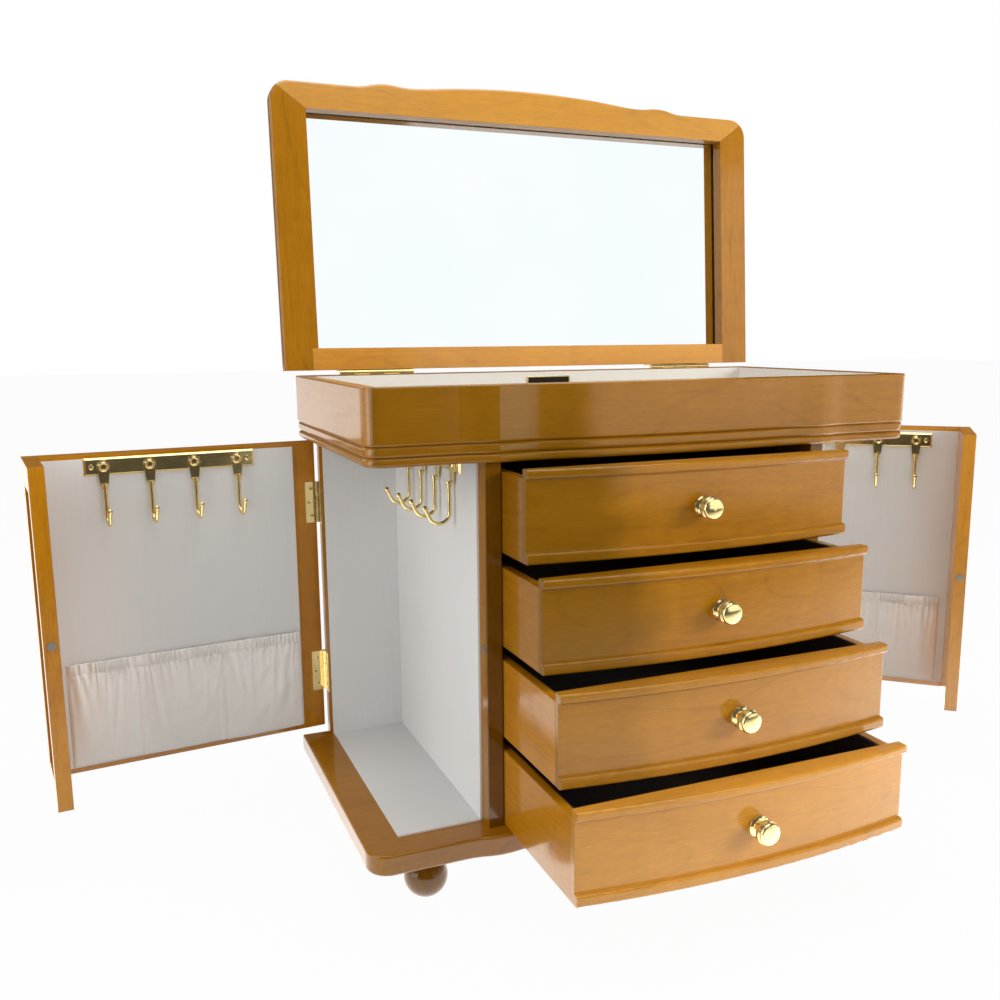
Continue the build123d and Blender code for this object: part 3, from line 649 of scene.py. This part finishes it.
def below_out(along, arch, up, folds, shift):
    """How far the cloth below the band stands out."""
    down = BELOW_BAND - up
    rise = up / BELOW_BAND
    fullness = math.sin(math.pi * min(rise * 0.95 + 0.02, 1.0)) ** 0.8
    out = BELOW_OUT + arch * BELLY * fullness
    for place, lean, width, depth, reach in folds:
        near = (along - place - lean * down) / (width * (1.0 + FOLD_SPREAD * down))
        if abs(near) < 3.0:
            out += depth * math.exp(-near * near - down / reach) * min(1.0, arch * 1.7)
    out += RUFFLE_BELOW * ruffle(along, shift) * math.exp(-down / RUFFLE_REACH)
    out -= STITCH_DEPTH * hump(down, STITCH_HALF) * min(1.0, out)
    crease = noise.noise(Vector((along * 0.11 + up * 0.07, up * 0.055, shift)))
    return out + CREASE * crease * arch * min(1.0, rise * 3.0)


def pocket_out(along, up, section, folds, shift):
    """How far the cloth stands out of the lining at a place."""
    start, end = SECTIONS[section]
    share = min(max((along - start) / (end - start), 0.0), 1.0)
    down = BELOW_BAND - up
    arch = math.sin(math.pi * share) ** 0.5
    if down < 0:
        out = band_out(along, arch, -down / BAND, shift)
    else:
        out = below_out(along, arch, up, folds[section], shift)
    for seam in POCKET_SEAMS:
        if abs(along - seam) < 3.0 * SEAM_HALF and down > -1.0:
            out -= (out - SEAM_OUT) * hump(along - seam, SEAM_HALF)
        out += RIDGE_OUT * hump(along - seam - RIDGE_AT, RIDGE_HALF) * min(1.0, max(down, 0.0) / 4.0)
    edge = min(along - POCKET_START, POCKET_END - along, up + 0.6)
    out *= min(1.0, SEWN_SHARE + max(edge, 0.0) / SEWN_WIDTH)
    return max(out, LEAST_OUT)


def gathered_pocket(door, side, seed):
    """Elastic-topped cloth pocket in three sewn sections on the door's lining."""
    folds = pocket_folds(seed)
    vertices = []
    for row in range(POCKET_ROWS + 1):
        up = POCKET_HEIGHT * row / POCKET_ROWS
        for column in range(POCKET_COLUMNS + 1):
            along = POCKET_START + (POCKET_END - POCKET_START) * column / POCKET_COLUMNS
            section = sum(along > seam for seam in POCKET_SEAMS)
            out = pocket_out(along, up, section, folds, seed * 7.3)
            lift = SECTION_LIFT * section * (1.0 - row / POCKET_ROWS)
            if row == POCKET_ROWS:
                lift += TOP_WAVE * noise.noise(Vector((along * 0.5, 4.0, seed)))
            vertices.append(placed(door, side * (CARD_FACE - out), HINGE_BACK - along,
                                   CARD_LOW + up + lift))
    faces = []
    for row in range(POCKET_ROWS):
        for column in range(POCKET_COLUMNS):
            a = row * (POCKET_COLUMNS + 1) + column
            above = a + POCKET_COLUMNS + 1
            quad = (a, a + 1, above + 1, above)
            faces.append(quad if side > 0 else quad[::-1])
    pocket = mesh_piece(f"{door}_gathered_pocket", vertices, faces, pocket_cloth, door)
    shell = pocket.modifiers.new("thickness", "SOLIDIFY")
    shell.thickness = POCKET_CLOTH * MM
    shell.offset = 1.0
    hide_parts(f"{door}_pocket")


gathered_pocket("left_door", -1, 3)
gathered_pocket("right_door", 1, 8)


# Ring rolls: soft bolsters side by side, each a little crowned and pinched at its ends. ROLL_FILLS is half
# a roll's width as a share of the room it has, ROLL_FLOOR the millimetres that it stays off the floor.
ROLLS = 7
ROLL_BANDS = 48
ROLL_AROUND = 28
ROLL_PINCHED = 0.80
ROLL_PINCH_POWER = 9
ROLL_SQUARE = (0.72, 0.62)
ROLL_FILLS = 0.498
ROLL_RIPPLE = 0.02
ROLL_FLOOR = 0.2


def squared(value, power):
    """Sine or cosine of a circle that gets squarer as the power falls below 1."""
    return math.copysign(abs(value) ** power, value)


def ring_rolls():
    low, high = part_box("ring_rolls")
    pitch = (high.y - low.y) / ROLLS
    half = (high.x - low.x) / 2
    middle_x = (low.x + high.x) / 2
    height = high.z - low.z
    for index in range(ROLLS):
        centre_y = low.y + (index + 0.5) * pitch
        vertices = []
        for band in range(ROLL_BANDS + 1):
            share = 2 * band / ROLL_BANDS - 1
            along = half * math.sin(share * math.pi / 2)
            end = 1.0 - abs(share) ** ROLL_PINCH_POWER
            plump = ROLL_PINCHED + (1.0 - ROLL_PINCHED) * end ** 0.5
            for step in range(ROLL_AROUND):
                angle = 2 * math.pi * step / ROLL_AROUND
                side = squared(math.cos(angle), ROLL_SQUARE[0])
                lift = squared(math.sin(angle), ROLL_SQUARE[1])
                ripple = 1.0 + ROLL_RIPPLE * noise.noise(Vector((along * 90, angle * 2, index)))
                y = centre_y + side * pitch * ROLL_FILLS * plump * ripple
                z = low.z + height * (0.5 + 0.5 * lift * plump * ripple)
                z = min(max(z, low.z + ROLL_FLOOR * MM), high.z)
                vertices.append(Vector((middle_x + along, y, z)))
        faces = ring_quads(ROLL_BANDS, ROLL_AROUND)
        faces.append(tuple(range(ROLL_AROUND))[::-1])
        faces.append(tuple(ROLL_BANDS * ROLL_AROUND + step for step in range(ROLL_AROUND)))
        roll = mesh_piece(f"ring_bolster_{index + 1}", vertices, faces, lining_cloth, "cabinet")
        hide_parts("ring_rolls")


ring_rolls()


# Screws: domed heads with a dark cross recess, joined into one piece for each body

# Radius and height, in shares of the head's radius, of each ring from the recess out to the rim
RECESS_FLOOR = -0.16
SCREW_RINGS = [(0.60, RECESS_FLOOR), (0.70, 0.20), (0.80, 0.12), (1.0, 0.0), (1.0, -0.3)]
RECESS_RINGS = 2
SCREW_SIDES = 24

# How far in the recess's outline comes between the arms of its cross, and the radians from one head's turn
# to the next one's
CROSS_WAIST = 0.42
SCREW_TURN = 0.5


def screw_head(radius, relief, turn):
    """Vertices and faces of one head about +Z; the first faces are the recess."""
    vertices = [Vector((0.0, 0.0, RECESS_FLOOR * radius * relief))]
    for index, (share, height) in enumerate(SCREW_RINGS):
        for step in range(SCREW_SIDES):
            angle = 2 * math.pi * step / SCREW_SIDES
            cross = CROSS_WAIST + (1.0 - CROSS_WAIST) * abs(math.cos(2 * angle)) ** 3
            reach = radius * share * (cross if index < RECESS_RINGS else 1.0)
            vertices.append(Vector((reach * math.cos(angle + turn), reach * math.sin(angle + turn),
                                    radius * height * relief)))
    faces = [(0, 1 + step, 1 + (step + 1) % SCREW_SIDES) for step in range(SCREW_SIDES)]
    for a, b, c, d in ring_quads(len(SCREW_RINGS) - 1, SCREW_SIDES, first=1):
        faces.append((a, d, c, b))
    return vertices, faces


def screws(name, body, places, radius, relief=1.0):
    """Screw heads at (point, outward direction) pairs in the row frame; relief 0 is a flat head."""
    vertices, faces, recess = [], [], []
    for index, (point, outward) in enumerate(places):
        head, skin = screw_head(radius * MM, relief, SCREW_TURN * index)
        aim = outward.to_track_quat("Z", "Y").to_matrix()
        start = len(vertices)
        vertices += [point + aim @ vertex for vertex in head]
        faces += [tuple(start + corner for corner in face) for face in skin]
        recess += [face < RECESS_RINGS * SCREW_SIDES for face in range(len(skin))]
    piece = mesh_piece(name, vertices, faces, brass, body, smooth=False)
    piece.data.materials.append(dark_brass)
    for face, dark in zip(piece.data.polygons, recess):
        face.material_index = int(dark)


# Door hinges and hook rails, in millimetres. LEAF_SCREWS has each screw's share of its leaf's height and
# shift in depth, DOOR_RAILS each door's side and where its rail starts from the hinge line, and its level.
LEAF_STARTS = (31.4, 151.8)
LEAF_HEIGHT = 28.3
LEAF_SCREWS = ((0.17, 0.9), (0.5, -0.9), (0.83, 0.9))
LEAF_SCREW_RADIUS = 1.5
DOOR_LEAF_MIDDLE = 87.6
BODY_LEAF_MIDDLE = 88.3
SCREW_LIFT = 0.05
RAIL_SCREWS = (4.2, 99.8)
RAIL_SCREW_RADIUS = 1.7
WALL_PLATE_X = 114.95
WALL_RAIL_START = -53.2
WALL_RAIL_LEVEL = 218.2
DOOR_PLATE_X = 164.05
DOOR_RAILS = (("left_door", -1, 43.2, 212.4), ("right_door", 1, 50.3, 210.3))

hinge_screws = {"cabinet": [], "left_door": [], "right_door": []}
rail_screws = {"cabinet": [], "left_door": [], "right_door": []}
for door, side, start, level in DOOR_RAILS:
    inward = direction(door, "X") * -side
    outward = direction("cabinet", "X") * side
    for leaf in LEAF_STARTS:
        for share, shift in LEAF_SCREWS:
            z = BASE_TOP + leaf + LEAF_HEIGHT * share
            on_door = placed(door, side * (HINGE_X - SCREW_LIFT), DOOR_LEAF_MIDDLE + shift, z)
            on_body = cab(side * (HINGE_X + SCREW_LIFT), BODY_LEAF_MIDDLE + shift, z)
            hinge_screws[door].append((on_door, inward))
            hinge_screws["cabinet"].append((on_body, outward))
    for end in RAIL_SCREWS:
        on_door = placed(door, side * DOOR_PLATE_X, HINGE_BACK - start - end, level)
        on_wall = cab(side * WALL_PLATE_X, WALL_RAIL_START + end, WALL_RAIL_LEVEL)
        rail_screws[door].append((on_door, inward))
        rail_screws["cabinet"].append((on_wall, outward))
for body in hinge_screws:
    screws(f"{body}_hinge_screws", body, hinge_screws[body], LEAF_SCREW_RADIUS, relief=0.1)
    screws(f"{body}_rail_screws", body, rail_screws[body], RAIL_SCREW_RADIUS)

# Lid hinges, in millimetres: middle and length, each screw's share of the length, and the depth and level
# of the screws on the lid and on the tray
LID_HINGE_X = 121.6
LID_HINGE_LENGTH = 52.5
LID_SCREWS = (-0.38, -0.13, 0.13, 0.38)
LID_SCREW_RADIUS = 1.4
ON_LID = (93.85, 272.4)
ON_TRAY = (92.65, 259.6)

lid_screws = []
tray_screws = []
for side in (-1, 1):
    for share in LID_SCREWS:
        x = side * LID_HINGE_X + LID_HINGE_LENGTH * share
        lid_screws.append((placed("lid", x, *ON_LID), direction("lid", "Y")))
        tray_screws.append((cab(x, *ON_TRAY), direction("cabinet", "Y")))
screws("lid_hinge_screws", "lid", lid_screws, LID_SCREW_RADIUS)
screws("tray_hinge_screws", "cabinet", tray_screws, LID_SCREW_RADIUS)


# Bare plate on the tray's back lining, in millimetres: dark enamel inside a raised brass rim. A step of
# its profile is how far in from the edge it lies and how far it stands out.
PLATE_X = (-14.0, 20.0)
PLATE_Z = (254.3, 261.3)
PLATE_BACK = TRAY_HALF_DEPTH - TRAY_WALL - TRAY_CARD
PLATE_STEPS = [(0.0, 0.0), (0.0, 0.9), (0.25, 1.1), (0.65, 1.1), (0.85, 0.8)]
PLATE_CORNERS = ((0, 0), (1, 0), (1, 1), (0, 1))


def bare_plate():
    vertices = []
    for inset, proud in PLATE_STEPS:
        for right, upper in PLATE_CORNERS:
            x = PLATE_X[right] + (-inset if right else inset)
            z = PLATE_Z[upper] + (-inset if upper else inset)
            vertices.append(cab(x, PLATE_BACK - proud, z))
    faces = ring_quads(len(PLATE_STEPS) - 1, len(PLATE_CORNERS))
    last = len(vertices) - len(PLATE_CORNERS)
    front = len(faces)
    faces.append(tuple(last + corner for corner in range(len(PLATE_CORNERS))))
    faces.append((3, 2, 1, 0))
    plate = mesh_piece("tray_bare_plate", vertices, faces, brass, "cabinet", smooth=False)
    plate.data.materials.append(enamel)
    plate.data.polygons[front].material_index = 1


bare_plate()


# Stage, lamps and camera

# The floor: how many metres it reaches, its grey, and how much of what the camera sees is plain white
FLOOR_REACH = 9.0
FLOOR_GREY = (0.50, 0.50, 0.50, 1.0)
FLOOR_WHITE = 0.97
FLOOR_GAP = 0.05 * MM

# Reflections see it as a table that is bright in front of the cabinet, less so to the left, and behind it.
# The ranges are in metres behind the cabinet's middle, or to its right.
TABLE_FRONT = 5.4
TABLE_BACK = 1.6
TABLE_LEFT_SHARE = 0.35
TABLE_TINT = (1.0, 0.97, 0.93, 1.0)
FRONT_RISES = (-0.90, -0.20)
FRONT_POWER = 1.8
FRONT_ENDS = (-0.05, 0.20)
BACK_RISES = (-0.1, 0.2)
RIGHT_RISES = (-0.25, 0.40)


def table_light(tree):
    """How bright the table is at each place."""
    coords = add(tree, "SeparateXYZ", {0: object_space(tree)})
    behind = math_node(tree, "SUBTRACT", coords.outputs["Y"], ORIGIN.y)
    aside = math_node(tree, "SUBTRACT", coords.outputs["X"], ORIGIN.x)
    close = math_node(tree, "POWER", grey(tree, behind, *FRONT_RISES, 0.0, 1.0), FRONT_POWER)
    front = math_node(tree, "MULTIPLY", close, grey(tree, behind, *FRONT_ENDS, 1.0, 0.0))
    right = grey(tree, aside, *RIGHT_RISES, TABLE_LEFT_SHARE * TABLE_FRONT, TABLE_FRONT)
    back = grey(tree, behind, *BACK_RISES, 0.0, TABLE_BACK)
    return math_node(tree, "ADD", math_node(tree, "MULTIPLY", front, right), back)


def stage_floor():
    """Pale floor: white to the camera with a faint shadow; reflections see a bright table."""
    mesh = bpy.data.meshes.new("floor")
    floor_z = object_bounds()[0].z - FLOOR_GAP
    corners = [(-FLOOR_REACH, -FLOOR_REACH), (FLOOR_REACH, -FLOOR_REACH),
               (FLOOR_REACH, FLOOR_REACH), (-FLOOR_REACH, FLOOR_REACH)]
    mesh.from_pydata([(ORIGIN.x + x, ORIGIN.y + y, floor_z) for x, y in corners], [], [(0, 1, 2, 3)])
    floor = bpy.data.objects.new("floor", mesh)
    bpy.context.scene.collection.objects.link(floor)
    made, tree = material("floor_white")
    plain = add(tree, "BsdfDiffuse", {"Color": FLOOR_GREY})
    glow = add(tree, "Emission", {"Color": WHITE, "Strength": 1.0})
    table = add(tree, "Emission", {"Color": TABLE_TINT, "Strength": table_light(tree)})
    path = add(tree, "LightPath")
    seen = mix_shaders(tree, FLOOR_WHITE, plain, glow)
    reflected = mix_shaders(tree, path.outputs["Is Glossy Ray"], plain, table)
    shader = mix_shaders(tree, seen_directly(tree, path), reflected, seen)
    floor.data.materials.append(finish_material(made, tree, shader))


stage_floor()

# How bright the room looks in reflections, and how much plain light it gives
ROOM_GLOSS = 0.03
ROOM_FILL = 0.03
world = bpy.data.worlds.new("studio")
bpy.context.scene.world = world
world.use_nodes = True
room = world.node_tree
room.nodes.clear()
path = add(room, "LightPath")
fill = add(room, "Background", {"Color": (1.0, 0.985, 0.965, 1.0), "Strength": ROOM_FILL})
gloss = add(room, "Background", {"Color": (1.0, 0.99, 0.98, 1.0), "Strength": ROOM_GLOSS})
white = add(room, "Background", {"Color": WHITE, "Strength": 1.0})
lit = mix_shaders(room, path.outputs["Is Glossy Ray"], fill, gloss)
add(room, "OutputWorld", {"Surface": mix_shaders(room, seen_directly(room, path), lit, white).outputs[0]})

LAMP_COLOUR = (0.985, 1.0, 1.0)


def lamp(name, place, target, width, height, power, glossy):
    """Soft lamp aimed at a point of the cabinet's own frame, hidden from the camera and the mirror."""
    data = bpy.data.lights.new(name, "AREA")
    data.shape = "RECTANGLE"
    data.size = width
    data.size_y = height
    data.energy = power
    data.color = LAMP_COLOUR
    made = bpy.data.objects.new(name, data)
    bpy.context.scene.collection.objects.link(made)
    made.location = cab(*place)
    made.rotation_mode = "QUATERNION"
    made.rotation_quaternion = (cab(*target) - cab(*place)).to_track_quat("-Z", "Y")
    made.visible_camera = False
    made.visible_transmission = False
    made.visible_glossy = glossy


# Name, place and target in the cabinet's own frame, width and height in metres, power in watts, and
# whether reflections show it
LAMPS = [
    ("card_right", (970, -1010, 330), (0, -90, 170), 1.6, 0.9, 6.6, True),
    ("table_glow", (180, -520, 6), (180, -520, 1000), 0.5, 0.5, 0.60, False),
    ("side_left", (-1500, -300, 500), (-100, 0, 130), 1.0, 1.0, 10.5, True),
    ("back_left", (-900, 900, 700), (-150, 0, 150), 0.9, 0.9, 4.0, True),
    ("left_high", (-700, -100, 900), (-60, 0, 110), 0.5, 0.5, 0.8, True),
    ("front_top", (-80, -420, 950), (0, 60, 300), 0.6, 0.6, 1.5, True),
    ("overhead", (0, 100, 1500), (0, 0, 150), 1.2, 1.2, 14.0, True),
    ("front_fill", (-350, -1500, 350), (0, 0, 170), 1.4, 1.0, 4.0, False),
    ("side_right", (1100, -1000, 700), (150, 0, 200), 0.6, 0.6, 14.0, False),
]
for values in LAMPS:
    lamp(*values)

# The camera that took the photograph, solved from the cabinet's corners
CAMERA_PLACE = (-302.5, -586.1, 290.7)
YAW, PITCH, ROLL = (math.radians(value) for value in (22.75, 9.98, -0.35))
SENSOR = 36.0
FOCAL_LENGTH = 36.02
SHIFT = (-0.0174, 0.0111)

camera_data = bpy.data.cameras.new("camera")
camera_data.sensor_fit = "HORIZONTAL"
camera_data.sensor_width = SENSOR
camera_data.lens = FOCAL_LENGTH
camera_data.shift_x, camera_data.shift_y = SHIFT
camera_data.clip_start = 0.05
camera_data.clip_end = 50.0
camera = bpy.data.objects.new("camera", camera_data)
bpy.context.scene.collection.objects.link(camera)
forward = Vector((math.sin(YAW) * math.cos(PITCH), math.cos(YAW) * math.cos(PITCH), -math.sin(PITCH)))
level_right = Vector((math.cos(YAW), -math.sin(YAW), 0.0))
level_up = level_right.cross(forward)
right = level_right * math.cos(ROLL) + level_up * math.sin(ROLL)
up = level_up * math.cos(ROLL) - level_right * math.sin(ROLL)
turned = Matrix((right, up, -forward)).transposed().to_4x4()
camera.matrix_world = Matrix.Translation(cab(*CAMERA_PLACE)) @ turned
bpy.context.scene.camera = camera
bpy.context.scene.view_settings.view_transform = "Standard"
